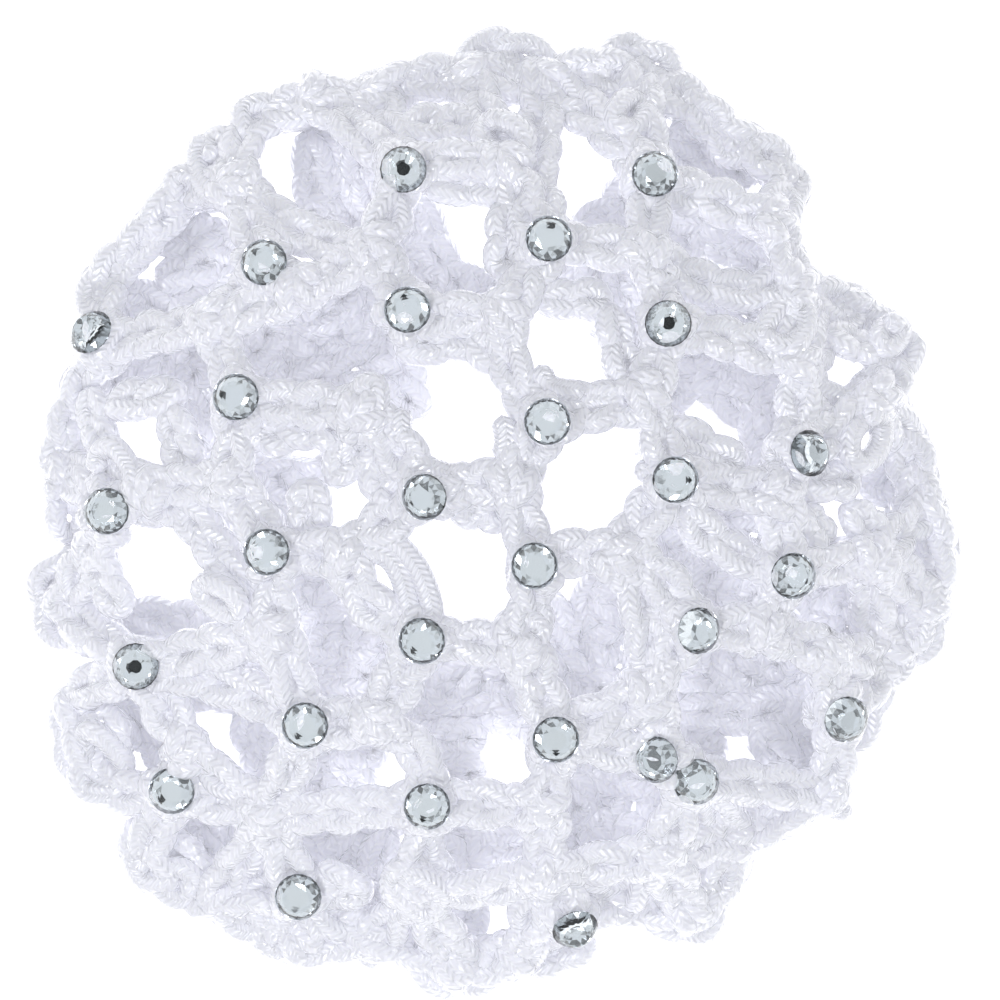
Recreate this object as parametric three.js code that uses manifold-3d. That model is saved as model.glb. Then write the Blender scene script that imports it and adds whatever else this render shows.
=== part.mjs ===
// A crocheted bun net, lying crown up as it rests on a table. Millimetres, +Z up.
// Thick glossy cord is worked in open loops from knot to knot over a flattened dome. The loops
// turn under at the widest round, cross the table towards the mouth, and an elastic cord draws
// them in there. Flat-backed crystals sit on the crown's main knots.

import * as THREE from "three";
import { mergeVertices } from "three/addons/utils/BufferGeometryUtils.js";
import Module from "manifold-3d";

const wasm = await Module();
wasm.setup();

// The dome that the middle of the crown's cord lies on.
const CROWN_TOP = 24;
const CROWN_EDGE = 6.6;
const CROWN_RADIUS = 46;
const CROWN_POWER = 2.3;

// The crown's cord: its widest half width, the half width of its flat top, and its half height.
const CROWN_CORD = { side: 2.0, flat: 1.0, half: 2.0 };

// The underside's cord, which lies on the table, and the elastic cord round the mouth.
const UNDER_CORD = { side: 1.8, flat: 1.0, half: 1.9 };
const ELASTIC_CORD = { side: 0.9, flat: 0.5, half: 0.9 };

// The gap left between pieces, how much of a loop a knot's corners may take up, and how close
// two points lie that count as one.
const GAP = 0.3;
const CORNER_SHARE = 0.45;
const SAME_POINT = 1e-4;

// Drums of wound cord: one under each crystal, and one round the elastic at each mouth knot.
const DRUM_SIDES = 6;
const SEAT_DRUM = { radius: 2.6, half: 2.2 };
const MOUTH_DRUM = { radius: 2.4, half: 1.8 };

// A flat-backed crystal: girdle, height, table, and how far its back lies over its knot's middle.
const STONE_DIAMETER = 4.7;
const STONE_HEIGHT = 1.7;
const STONE_GIRDLE = 0.4;
const STONE_TABLE_DIAMETER = 2.7;
const STONE_FACETS = 8;
const STONE_SEAT = SEAT_DRUM.half + GAP;
const STONE_ROOM = { height: 4, under: 0.25 };

// Knots that carry a crystal. Columns: x, y, tilt from upright, and the way it tilts, both in
// degrees, the way counted from +X towards +Y.
const STONE_KNOTS = {
  s01: [-9.0, 34.2, 2, 110],
  s02: [15.8, 33.4, 12, 60],
  s03: [5.4, 26.9, 10, 80],
  s04: [-22.6, 24.6, 12, 130],
  s05: [-8.5, 19.9, 8, 110],
  s06: [17.3, 18.8, 2, 60],
  s07: [-39.0, 17.0, 42, 140],
  s08: [-25.3, 11.4, 10, 160],
  s09: [5.3, 8.9, 4, 90],
  s10: [30.0, 5.7, 36, 10],
  s11: [17.7, 3.3, 8, 0],
  s12: [-6.1, 1.9, 20, 200],
  s13: [-38.1, 0.2, 14, 180],
  s14: [-22.2, -3.8, 10, 190],
  s15: [3.9, -5.0, 6, 300],
  s16: [29.1, -6.0, 18, 340],
  s17: [-7.0, -12.4, 8, 240],
  s18: [19.2, -11.5, 28, 350],
  s19: [-35.7, -15.3, 2, 200],
  s20: [-18.6, -20.9, 8, 230],
  s21: [6.1, -22.2, 8, 280],
  s22: [34.3, -20.1, 24, 330],
  s23: [17.1, -24.4, 22, 190],
  s24: [19.7, -26.4, 14, 320],
  s25: [-31.9, -27.5, 10, 220],
  s26: [-6.6, -28.9, 8, 260],
  s27: [-19.4, -38.1, 8, 240],
  s28: [7.5, -39.9, 44, 290],
};

// Plain knots of the crown. Columns: x, y.
const CROWN_KNOTS = {
  k01: [1.1, 34.3], k02: [15.1, 26.1], k03: [1.4, 19.8], k04: [-25.6, 32.6], k05: [-11.8, 26.1],
  k06: [-27.9, 18.8], k07: [-12.4, 10.1], k08: [-25.9, 3.1], k09: [-21.7, -11.9],
  k10: [-14.9, -3.7], k11: [3.1, -13.5], k12: [-11.9, -20.9], k13: [5.1, -29.2], k14: [1.8, 3.5],
  k15: [15.1, 11.3], k16: [28.1, 29.1], k17: [30.1, 22.8], k18: [30.6, 15.3], k19: [28.4, 2.0],
  k20: [12.4, -4.2], k21: [26.8, -11.4], k22: [15.6, -17.7], k23: [-22.4, -30.2],
  k24: [38.6, 11.8], k25: [38.1, -4.2], k26: [33.1, -14.2], k27: [-7.9, -37.2],
  k28: [5.1, -35.7], k29: [16.6, -34.2], k30: [-34.0, 2.6], k31: [-19.4, 21.9],
  k32: [-30.6, -23.2],
};

// Knots of the widest round, clockwise from the top. Columns: x, y.
const EDGE_KNOTS = {
  e01: [-11.4, 41.6], e02: [-2.4, 43.6], e03: [5.3, 43.0], e04: [14.6, 42.6], e05: [23.1, 37.3],
  e06: [29.6, 32.9], e07: [35.6, 20.3], e08: [41.1, 16.8], e09: [41.1, 7.3], e10: [43.1, 0.3],
  e11: [43.6, -8.7], e12: [39.6, -14.7], e13: [33.4, -27.9], e14: [24.1, -32.2],
  e15: [19.6, -40.0], e16: [12.6, -38.9], e17: [2.6, -44.4], e18: [-3.4, -45.4],
  e19: [-11.4, -42.6], e20: [-19.4, -43.2], e21: [-27.9, -38.2], e22: [-35.4, -34.7],
  e23: [-40.4, -26.6], e24: [-41.9, -18.1], e25: [-43.1, -9.6], e26: [-42.9, 4.3],
  e27: [-40.9, 12.8], e28: [-39.4, 23.3], e29: [-34.4, 28.2], e30: [-31.1, 32.5],
  e31: [-23.9, 39.6], e32: [-17.4, 41.3],
};

// Knots of the mouth, clockwise from the top. Columns: x, y.
const MOUTH_KNOTS = {
  m01: [1.8, 21.5], m02: [8.6, 24.5], m03: [12.8, 18.8], m04: [15.6, 11.8], m05: [17.8, 4.8],
  m06: [15.6, -3.2], m07: [11.8, -6.7], m08: [10.6, -14.2], m09: [5.1, -16.2],
  m10: [-0.4, -19.9], m11: [-5.4, -14.2], m12: [-9.9, -13.2], m13: [-15.4, -10.7],
  m14: [-18.9, -3.2], m15: [-19.6, 2.8], m16: [-11.6, 9.8], m17: [-10.9, 15.8],
  m18: [-5.4, 18.8],
};

// Knots of the underside that lie between the crown's, where they show. Columns: x, y.
const UNDER_KNOTS = {
  u01: [-6.9, 28.8], u02: [-2.4, 22.8], u03: [9.9, 29.8], u04: [3.1, 31.3], u05: [21.8, 28.0],
  u06: [33.1, -10.2], u07: [26.8, 9.3], u08: [21.1, 13.5], u09: [38.2, 3.9], u10: [22.6, -3.9],
  u11: [13.1, -9.7], u12: [22.4, -18.7], u13: [29.6, -19.7], u14: [11.8, -26.5],
  u15: [10.6, -32.7], u16: [-1.6, -33.7], u17: [-13.2, -31.2], u18: [-22.4, -26.7],
  u19: [-29.4, -17.9], u20: [-30.4, -11.2], u21: [-28.9, 5.8], u22: [-34.4, 13.8],
  u23: [-30.4, 10.3], u24: [-19.4, 16.8], u25: [-13.4, 18.3], u26: [-31.4, 19.5],
  u27: [-28.9, 27.7], u28: [-16.4, 32.3],
};

// Courses are loops of cord from knot to knot. A number after ~ bows the loop that leads to
// that knot, in millimetres to the left of its way. No two loops of a layer cross.
const EDGE_COURSES = [
  "e01 e02~1 e03 e04~1.5 e05~1.5 e06~1 k16 k17 e07 e08 k24 e09 e10 e11~1 e12 s22",
  "s22 e13~0.3 e14~0.3 e15~1 e16 s28 e17 e18 e19 e20 e21~0.6 e22~0.6 s25 e23~1 e24",
  "e24 s19 e25 s13 e26 e27~1 s07 e28 e29 e30 k04 e31~0.8 e32 e01",
];

const CROWN_COURSES = [
  "e21 s27 e20", "e01 s01 k05 k31 k06 s07", "k01 s01~-1", "e02 k01 s03 e03~1", "e04 s02 e03~1",
  "s03 k03 s05 k05", "s03 k02 s02 k16", "k02 s06 k15 s09 k03~1.5", "k02 k17~-2", "s06 k18 k17",
  "k04 k05~-1.5", "s04 k06", "s04 k31", "e32 s01", "k04 s04",
  "k06 s08 k07 s12 k14 s09", "s08 k08 s14 k10 s12", "k08 k30 s13", "k30 e26",
  "k14 s15 k20~0.8 s11 k15", "s11 k19 s10 k24", "s10 k18 e07", "k18 k24~-3",
  "s11 s16~-2", "k19 s16 k25 e10", "k25 e11", "k25 e12~-1",
  "k10 s17~3.6", "k10 s17~-1.6", "s14 k09 s20 k12 s17 k11 s15", "k09 s19", "s20 s19~-1",
  "k20 s18~1.5", "k20 k22~1", "s18 k21 s16", "k21 k26 s22", "k26 e12", "s18 k22 s21 k11",
  "k22 s23 s24 e14", "s21 s23", "s24 e13", "s21 k13 s26 k12~-2", "k13 k28 s28",
  "k28 e16", "k28 e17", "s24 k29 e15", "k29 e14", "k29 e16", "k29 k28",
  "s26 k27 e18", "k27 e19", "k27 k28~-1", "s26 k23 s20", "k23 s27 e19", "k23 s25",
  "k23 k32 s19", "k23 e21",
];

const UNDER_COURSES = [
  "e32 u28 k05 u25 m17", "k05 u01", "e01 u01 u02~-1.2 m01", "m18 u02", "e02 u04 m01", "e03 u04",
  "e04 s02 u03 m02", "s02 u05 k16", "u05 k17", "u05 k02 s06 m03", "m04 u08 u07 k19 m05",
  "u08 k18 s10 k19", "s10 u09 e10 k25 s16 u10 m06", "k19 s16", "s16 u06 u13 e13",
  "u13 u12 k22 m08", "u12 s18 u10", "m07 u11 s18", "u11 m08", "k22 s24 e14", "m09 s21 u14 s24",
  "u14 u15 e16", "u15 u16 e18", "u16 s26 u17 e20", "u17 s20 k12 m12", "m10 s21", "m10 k12",
  "m11 k12", "s20 u18 e21", "s19 u19 s20~1", "e25 u20 k09 m13", "k09 s20", "s14 k09",
  "m14 s14 u21 m15", "e27 u22 u23 u21", "u22 u26 e28", "u26 s04 u24 u25", "e29 u27 s04",
  "u24 s08 u23", "s08 m16", "u25 m18",
];

const UP = new THREE.Vector3(0, 0, 1);

// The crown's dome over a point seen from above: its height, and the way that it faces.
function domeHeight(x, y) {
  const out = Math.min(Math.hypot(x, y) / CROWN_RADIUS, 1);
  return CROWN_EDGE + (CROWN_TOP - CROWN_EDGE) * (1 - out ** CROWN_POWER);
}

function domeNormal(x, y) {
  const radius = Math.hypot(x, y);
  const out = Math.min(radius / CROWN_RADIUS, 1);
  const slope = ((CROWN_TOP - CROWN_EDGE) * CROWN_POWER * out ** (CROWN_POWER - 1)) / CROWN_RADIUS;
  return new THREE.Vector3((slope * x) / radius, (slope * y) / radius, 1).normalize();
}

// A direction leaning from upright, by so many degrees, towards a way seen from above.
function leaning(tilt, way) {
  const polar = THREE.MathUtils.degToRad(tilt);
  const azimuth = THREE.MathUtils.degToRad(way);
  return new THREE.Vector3(
    Math.sin(polar) * Math.cos(azimuth), Math.sin(polar) * Math.sin(azimuth), Math.cos(polar),
  );
}

// A knot is a point in space and the way that its drum stands.
function tableOf(rows, place) {
  return Object.fromEntries(Object.entries(rows).map(([name, row]) => [name, place(row)]));
}

const stoneKnots = tableOf(STONE_KNOTS, ([x, y, tilt, way]) => ({
  point: new THREE.Vector3(x, y, domeHeight(x, y)),
  upright: leaning(tilt, way),
}));
const crownKnots = {
  ...stoneKnots,
  ...tableOf(CROWN_KNOTS, ([x, y]) => ({
    point: new THREE.Vector3(x, y, domeHeight(x, y)),
    upright: domeNormal(x, y),
  })),
  ...tableOf(EDGE_KNOTS, ([x, y]) => ({
    point: new THREE.Vector3(x, y, CROWN_EDGE),
    upright: UP,
  })),
};
const tableKnots = tableOf(
  { ...STONE_KNOTS, ...CROWN_KNOTS, ...EDGE_KNOTS, ...MOUTH_KNOTS, ...UNDER_KNOTS },
  ([x, y]) => ({ point: new THREE.Vector3(x, y, UNDER_CORD.half), upright: UP }),
);

// A closed three.js geometry as a solid that can be joined and cut.
function solidFrom(geometry) {
  const bare = geometry.clone();
  bare.deleteAttribute("normal");
  bare.deleteAttribute("uv");
  const merged = mergeVertices(bare, SAME_POINT);
  return new wasm.Manifold(
    new wasm.Mesh({
      numProp: 3,
      vertProperties: merged.attributes.position.array,
      triVerts: new Uint32Array(merged.index.array),
    }),
  );
}

// A joined or cut solid as a flat-shaded three.js geometry again.
function geometryFrom(solid) {
  const mesh = solid.getMesh();
  const shared = new THREE.BufferGeometry();
  shared.setAttribute("position", new THREE.BufferAttribute(mesh.vertProperties, mesh.numProp));
  shared.setIndex(new THREE.BufferAttribute(mesh.triVerts, 1));
  const geometry = shared.toNonIndexed();
  geometry.computeVertexNormals();
  return geometry;
}

// Halfway along a bowed loop, as a knot of its own.
function bendBetween(start, end, bow) {
  const left = new THREE.Vector3(
    start.point.y - end.point.y, end.point.x - start.point.x, 0,
  ).normalize();
  return {
    point: start.point.clone().lerp(end.point, 0.5).addScaledVector(left, bow),
    upright: start.upright.clone().add(end.upright).normalize(),
  };
}

// The knots and loops that some courses name, with a bend as a knot between two loops.
function readCourses(courses, table) {
  const knots = {};
  const loops = [];
  courses.forEach((course) => {
    const stops = course.split(" ").map((word) => word.split("~"));
    stops.forEach(([name]) => {
      knots[name] = table[name];
    });
    stops.slice(1).forEach(([name, bow], i) => {
      const [before] = stops[i];
      if (bow === undefined) {
        loops.push([before, name]);
        return;
      }
      const bend = [before, name, bow].join("~");
      knots[bend] = bendBetween(table[before], table[name], Number(bow));
      loops.push([before, bend], [bend, name]);
    });
  });
  return { knots, loops };
}

// The loops that leave a knot, in order round it, each with its way and its length from above.
function spokesOf(name, knots, loops) {
  const { point } = knots[name];
  return loops
    .filter((loop) => loop.includes(name))
    .map(([a, b]) => {
      const to = a === name ? b : a;
      const across = knots[to].point.clone().sub(point);
      return { to, way: Math.atan2(across.y, across.x), length: Math.hypot(across.x, across.y) };
    })
    .sort((one, other) => one.way - other.way);
}

// A knot's corners, one between each loop and the next round it: how far out and which way.
function cornersOf(spokes, halfWidth) {
  return spokes.map((spoke, i) => {
    const next = spokes[(i + 1) % spokes.length];
    const turn = (next.way - spoke.way + 2 * Math.PI) % (2 * Math.PI) || 2 * Math.PI;
    const mitre = halfWidth / Math.sin(Math.min(turn / 2, Math.PI / 2));
    const out = Math.min(mitre, CORNER_SHARE * Math.min(spoke.length, next.length));
    return { out, way: spoke.way + turn / 2 };
  });
}

// A point beside a knot, in the plane that its upright stands on, raised along the upright.
function beside({ point, upright }, out, way, rise) {
  const x = out * Math.cos(way);
  const y = out * Math.sin(way);
  const z = -(upright.x * x + upright.y * y) / upright.z;
  return point.clone().add(new THREE.Vector3(x, y, z)).addScaledVector(upright, rise);
}

// Everything that is worked in one cord, as one closed mesh. Each loop has a six-sided section
// and runs between the corners of its two knots.
function netGeometry(courses, table, { side, flat, half }) {
  const { knots, loops } = readCourses(courses, table);
  const points = [];
  const faces = [];
  const addPoint = (point) => points.push(point.toArray()) - 1;
  const addFace = (...corners) => {
    for (let i = 1; i + 1 < corners.length; i += 1) {
      const face = [corners[0], corners[i], corners[i + 1]];
      if (new Set(face).size === 3) {
        faces.push(face);
      }
    }
  };

  const hubs = {};
  Object.entries(knots).forEach(([name, knot]) => {
    const spokes = spokesOf(name, knots, loops);
    const corners = cornersOf(spokes, side).map(({ out, way }) => ({
      middle: addPoint(beside(knot, out, way, 0)),
      top: addPoint(beside(knot, (out * flat) / side, way, half)),
      bottom: addPoint(beside(knot, (out * flat) / side, way, -half)),
    }));
    hubs[name] = { spokes, corners };
    if (corners.length > 2) {
      const topMiddle = addPoint(beside(knot, 0, 0, half));
      const bottomMiddle = addPoint(beside(knot, 0, 0, -half));
      corners.forEach(({ top, bottom }, i) => {
        const next = corners[(i + 1) % corners.length];
        addFace(topMiddle, top, next.top);
        addFace(bottomMiddle, next.bottom, bottom);
      });
    }
  });

  // The corners to the left and right of a loop, looking out from one of its knots.
  const cornersBeside = (name, to) => {
    const { spokes, corners } = hubs[name];
    const i = spokes.findIndex((spoke) => spoke.to === to);
    return [corners[i], corners[(i + corners.length - 1) % corners.length]];
  };

  loops.forEach(([start, end]) => {
    const [left, right] = cornersBeside(start, end);
    const [farRight, farLeft] = cornersBeside(end, start);
    addFace(right.top, farRight.top, farLeft.top, left.top);
    addFace(left.top, farLeft.top, farLeft.middle, left.middle);
    addFace(left.middle, farLeft.middle, farLeft.bottom, left.bottom);
    addFace(left.bottom, farLeft.bottom, farRight.bottom, right.bottom);
    addFace(right.bottom, farRight.bottom, farRight.middle, right.middle);
    addFace(right.middle, farRight.middle, farRight.top, right.top);
  });

  const geometry = new THREE.BufferGeometry();
  geometry.setAttribute("position", new THREE.Float32BufferAttribute(points.flat(), 3));
  geometry.setIndex(faces.flat());
  return geometry;
}

// A drum of wound cord, standing on a knot's middle both ways.
function drumAt({ point, upright }, { radius, half }) {
  const drum = new THREE.CylinderGeometry(radius, radius, 2 * half, DRUM_SIDES);
  drum.rotateX(Math.PI / 2);
  drum.applyQuaternion(new THREE.Quaternion().setFromUnitVectors(UP, upright));
  return solidFrom(drum.translate(point.x, point.y, point.z));
}

// Moves a geometry that stands on the origin to the seat over a crystal's knot.
function onSeat(geometry, { point, upright }) {
  geometry.applyQuaternion(new THREE.Quaternion().setFromUnitVectors(UP, upright));
  const back = point.clone().addScaledVector(upright, STONE_SEAT);
  return geometry.translate(back.x, back.y, back.z);
}

// The room round a crystal, which the cord is cut back from.
function stoneRoom(knot) {
  const radius = STONE_DIAMETER / 2 + GAP;
  const room = new THREE.CylinderGeometry(radius, radius, STONE_ROOM.height, STONE_FACETS);
  room.rotateX(Math.PI / 2);
  room.translate(0, 0, STONE_ROOM.height / 2 - STONE_ROOM.under);
  return solidFrom(onSeat(room, knot));
}

function crownNet() {
  const worked = solidFrom(netGeometry([...EDGE_COURSES, ...CROWN_COURSES], crownKnots, CROWN_CORD));
  const seats = Object.values(stoneKnots).map((knot) => drumAt(knot, SEAT_DRUM));
  const rooms = Object.values(stoneKnots).map(stoneRoom);
  return geometryFrom(worked.add(wasm.Manifold.union(seats)).subtract(wasm.Manifold.union(rooms)));
}

// The ring through every knot of the mouth.
function mouthRing(cord) {
  const names = Object.keys(MOUTH_KNOTS);
  return solidFrom(netGeometry([[...names, names[0]].join(" ")], tableKnots, cord));
}

function undersideNet() {
  const worked = solidFrom(netGeometry([...EDGE_COURSES, ...UNDER_COURSES], tableKnots, UNDER_CORD));
  const drums = Object.keys(MOUTH_KNOTS).map((name) => drumAt(tableKnots[name], MOUTH_DRUM));
  const { side, flat, half } = ELASTIC_CORD;
  const bore = mouthRing({ side: side + GAP, flat: flat + GAP, half: half + GAP });
  return geometryFrom(worked.add(wasm.Manifold.union(drums)).subtract(bore));
}

// A crystal standing on its flat back: a short girdle, two rows of three-cornered facets, and
// the table.
function stoneGeometry() {
  const girdle = STONE_DIAMETER / 2;
  const table = STONE_TABLE_DIAMETER / 2;
  const rings = [
    { radius: girdle, z: 0, turn: 0 },
    { radius: girdle, z: STONE_GIRDLE, turn: 0 },
    { radius: table, z: STONE_HEIGHT, turn: 0.5 },
  ];
  const points = rings.flatMap(({ radius, z, turn }) =>
    Array.from({ length: STONE_FACETS }, (_, i) => {
      const angle = ((i + turn) * 2 * Math.PI) / STONE_FACETS;
      return [radius * Math.cos(angle), radius * Math.sin(angle), z];
    }),
  );
  points.push([0, 0, 0], [0, 0, STONE_HEIGHT]);
  const backMiddle = points.length - 2;
  const tableMiddle = points.length - 1;
  const corners = [];
  for (let i = 0; i < STONE_FACETS; i += 1) {
    const next = (i + 1) % STONE_FACETS;
    const [low, lowNext] = [i, next];
    const [rim, rimNext] = [i + STONE_FACETS, next + STONE_FACETS];
    const [top, topNext] = [i + 2 * STONE_FACETS, next + 2 * STONE_FACETS];
    corners.push(backMiddle, lowNext, low);
    corners.push(low, lowNext, rimNext, low, rimNext, rim);
    corners.push(rim, rimNext, top);
    corners.push(top, rimNext, topNext);
    corners.push(tableMiddle, top, topNext);
  }
  const shared = new THREE.BufferGeometry();
  shared.setAttribute("position", new THREE.Float32BufferAttribute(points.flat(), 3));
  shared.setIndex(corners);
  return shared.toNonIndexed();
}

function stoneOn(knot) {
  const geometry = onSeat(stoneGeometry(), knot);
  geometry.computeVertexNormals();
  return geometry;
}

const cordMaterial = new THREE.MeshStandardMaterial({ color: 0xf1f0f8, roughness: 0.45, metalness: 0 });
const elasticMaterial = new THREE.MeshStandardMaterial({ color: 0xf4f4f6, roughness: 0.6, metalness: 0 });
const crystalMaterial = new THREE.MeshStandardMaterial({ color: 0xc9d6da, roughness: 0.05, metalness: 0.3 });

function named(name, geometry, material) {
  const mesh = new THREE.Mesh(geometry, material);
  mesh.name = name;
  return mesh;
}

const net = new THREE.Group();
net.add(named("crown_net", crownNet(), cordMaterial));
net.add(named("underside_net", undersideNet(), cordMaterial));
net.add(named("elastic_cord", geometryFrom(mouthRing(ELASTIC_CORD)), elasticMaterial));
Object.entries(stoneKnots).forEach(([name, knot]) => {
  net.add(named(name.replace("s", "stone_"), stoneOn(knot), crystalMaterial));
});

// The origin is the middle of the foot of the whole net.
const extent = new THREE.Box3().setFromObject(net);
net.position.set(-(extent.min.x + extent.max.x) / 2, -(extent.min.y + extent.max.y) / 2, -extent.min.z);

export default net;
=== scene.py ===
"""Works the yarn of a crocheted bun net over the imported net, and sets its crystals.

The net lies crown up on a white table. The chart and the constants that follow are in
millimetres, as a maker would count them, and turn to metres where a piece is made.
"""

import math
import random

import bmesh
import bpy
import numpy as np
from mathutils import Matrix, Vector, noise


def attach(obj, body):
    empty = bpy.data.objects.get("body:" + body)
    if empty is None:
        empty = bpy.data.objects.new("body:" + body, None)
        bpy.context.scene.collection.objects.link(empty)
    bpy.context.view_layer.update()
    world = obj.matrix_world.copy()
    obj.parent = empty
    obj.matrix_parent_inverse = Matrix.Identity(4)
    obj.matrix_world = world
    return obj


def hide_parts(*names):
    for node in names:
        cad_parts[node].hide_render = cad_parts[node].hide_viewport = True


bl_info = {
    "name": "Crocheted Bun Net",
    "version": (1, 0, 0),
    "blender": (4, 5, 0),
    "location": "3D View > Sidebar > Bun Net",
    "description": "Works the yarn of a bun net stitch by stitch and sets its crystals",
    "category": "Add Mesh",
}

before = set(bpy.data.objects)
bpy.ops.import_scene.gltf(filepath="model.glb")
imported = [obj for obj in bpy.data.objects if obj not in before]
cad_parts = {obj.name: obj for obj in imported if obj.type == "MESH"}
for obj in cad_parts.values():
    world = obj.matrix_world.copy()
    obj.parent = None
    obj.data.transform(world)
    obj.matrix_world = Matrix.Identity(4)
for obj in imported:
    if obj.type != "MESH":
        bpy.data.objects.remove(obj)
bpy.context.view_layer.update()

MM = 0.001
UP = Vector((0, 0, 1))

# Where the chart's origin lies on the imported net, in millimetres.
CHART_SHIFT = Vector((-0.6471, 0.5479, 0))

# The dome that the middle of the crown's yarn lies on, and the heights of the two flat rounds.
CROWN_TOP = 24
CROWN_EDGE = 6.6
CROWN_RADIUS = 46
CROWN_POWER = 2.3
UNDER_HEIGHT = 1.9

# A crystal's back lies this far over its knot's middle.
CRYSTAL_SEAT = 2.5

# From point to point of a chain's line and of a finished yarn, and the sides that a yarn has on
# the crown and on the underside.
WAY_STEP = 1.2
YARN_STEP = 0.45
YARN_SIDES = 10
UNDER_SIDES = 8

# Points to a turn of yarn round a knot and round a picot.
WRAP_POINTS = 7
PICOT_POINTS = 8

# A chain starts this share of a stitch before its knot, its points wander by up to so much, and
# its roll changes over about this length.
CHAIN_LEAD = 0.35
CHAIN_WANDER = 0.16
ROLL_LENGTH = 9

# An uneven hand: shares of the even size that a stitch's width, a turn round a knot, over the
# elastic or round a picot, and a picot's pull out of round lie between.
STITCH_RANGE = (0.85, 1.15)
WRAP_RANGE = (0.88, 1.12)
REACH_RANGE = (0.85, 1.1)
PICOT_RANGE = (0.84, 1.16)
PULL_RANGE = (0.72, 0.9)

# Yarn round a knot moves on with each turn, and veers by so many radians in all. Under a crystal
# it is broader and flatter.
KNOT_ADVANCE = 1.5
KNOT_VEER = 1.9
SEAT_BROAD = 1.45
SEAT_FLAT = 0.7

# A picot stands over the crown, leans, and climbs unevenly as it turns.
PICOT_RISE = 0.4
PICOT_LEAN = 0.3
PICOT_LIFT = 0.8
PICOT_WANDER = 0.25
PICOT_TURNS = (1.2, 1.8)

# Fills lie under the crown's dome, and loops over it.
FILL_SINK = 1.0
LOOP_RISE = 0.3
UNDER_FILL_HEIGHT = 2.6
LOBE_HEIGHT = 5.2

# The border is whipped with a turn in each pitch, somewhere between these shares of it, and
# each leans by up to so much.
WHIP_PITCH = 3.1
WHIP_PLACE = (0.2, 0.8)
WHIP_LEAN = 0.3
WHIP_HEIGHT = 4.3

# Yarn over the mouth's elastic reaches to both sides, rises over it and sinks beside it.
MOUTH_REACH = 2.0
MOUTH_RISE = 2.0
MOUTH_SINK = 0.75
MOUTH_PITCH = 2.2
MOUTH_WANDER = 0.1
MOUTH_PARTS = 4

# The elastic passes every fourth point of the mouth's line.
ELASTIC_THICKNESS = 1.8
ELASTIC_STEP = 0.5
ELASTIC_SKIP = 4

# Room that the underside's yarn keeps from the table.
TABLE_GAP = 0.1

# Knots that carry a crystal: x, y, tilt from upright, and the way it tilts, in degrees.
STONE_KNOTS = {
    "s01": (-9.0, 34.2, 2, 110), "s02": (15.8, 33.4, 12, 60), "s03": (5.4, 26.9, 10, 80),
    "s04": (-22.6, 24.6, 12, 130), "s05": (-8.5, 19.9, 8, 110), "s06": (17.3, 18.8, 2, 60),
    "s07": (-39.0, 17.0, 42, 140), "s08": (-25.3, 11.4, 10, 160), "s09": (5.3, 8.9, 4, 90),
    "s10": (30.0, 5.7, 36, 10), "s11": (17.7, 3.3, 8, 0), "s12": (-6.1, 1.9, 20, 200),
    "s13": (-38.1, 0.2, 14, 180), "s14": (-22.2, -3.8, 10, 190), "s15": (3.9, -5.0, 6, 300),
    "s16": (29.1, -6.0, 18, 340), "s17": (-7.0, -12.4, 8, 240), "s18": (19.2, -11.5, 28, 350),
    "s19": (-35.7, -15.3, 2, 200), "s20": (-18.6, -20.9, 8, 230), "s21": (6.1, -22.2, 8, 280),
    "s22": (34.3, -20.1, 24, 330), "s23": (17.1, -24.4, 22, 190), "s24": (19.7, -26.4, 14, 320),
    "s25": (-31.9, -27.5, 10, 220), "s26": (-6.6, -28.9, 8, 260), "s27": (-19.4, -38.1, 8, 240),
    "s28": (7.5, -39.9, 44, 290),
}

# Plain knots of the crown: x, y.
CROWN_KNOTS = {
    "k01": (1.1, 34.3), "k02": (15.1, 26.1), "k03": (1.4, 19.8), "k04": (-25.6, 32.6),
    "k05": (-11.8, 26.1), "k06": (-27.9, 18.8), "k07": (-12.4, 10.1), "k08": (-25.9, 3.1),
    "k09": (-21.7, -11.9), "k10": (-14.9, -3.7), "k11": (3.1, -13.5), "k12": (-11.9, -20.9),
    "k13": (5.1, -29.2), "k14": (1.8, 3.5), "k15": (15.1, 11.3), "k16": (28.1, 29.1),
    "k17": (30.1, 22.8), "k18": (30.6, 15.3), "k19": (28.4, 2.0), "k20": (12.4, -4.2),
    "k21": (26.8, -11.4), "k22": (15.6, -17.7), "k23": (-22.4, -30.2), "k24": (38.6, 11.8),
    "k25": (38.1, -4.2), "k26": (33.1, -14.2), "k27": (-7.9, -37.2), "k28": (5.1, -35.7),
    "k29": (16.6, -34.2), "k30": (-34.0, 2.6), "k31": (-19.4, 21.9), "k32": (-30.6, -23.2),
}

# Knots of the widest round, clockwise from the top: x, y.
EDGE_KNOTS = {
    "e01": (-11.4, 41.6), "e02": (-2.4, 43.6), "e03": (5.3, 43.0), "e04": (14.6, 42.6),
    "e05": (23.1, 37.3), "e06": (29.6, 32.9), "e07": (35.6, 20.3), "e08": (41.1, 16.8),
    "e09": (41.1, 7.3), "e10": (43.1, 0.3), "e11": (43.6, -8.7), "e12": (39.6, -14.7),
    "e13": (33.4, -27.9), "e14": (24.1, -32.2), "e15": (19.6, -40.0), "e16": (12.6, -38.9),
    "e17": (2.6, -44.4), "e18": (-3.4, -45.4), "e19": (-11.4, -42.6), "e20": (-19.4, -43.2),
    "e21": (-27.9, -38.2), "e22": (-35.4, -34.7), "e23": (-40.4, -26.6), "e24": (-41.9, -18.1),
    "e25": (-43.1, -9.6), "e26": (-42.9, 4.3), "e27": (-40.9, 12.8), "e28": (-39.4, 23.3),
    "e29": (-34.4, 28.2), "e30": (-31.1, 32.5), "e31": (-23.9, 39.6), "e32": (-17.4, 41.3),
}

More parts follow.
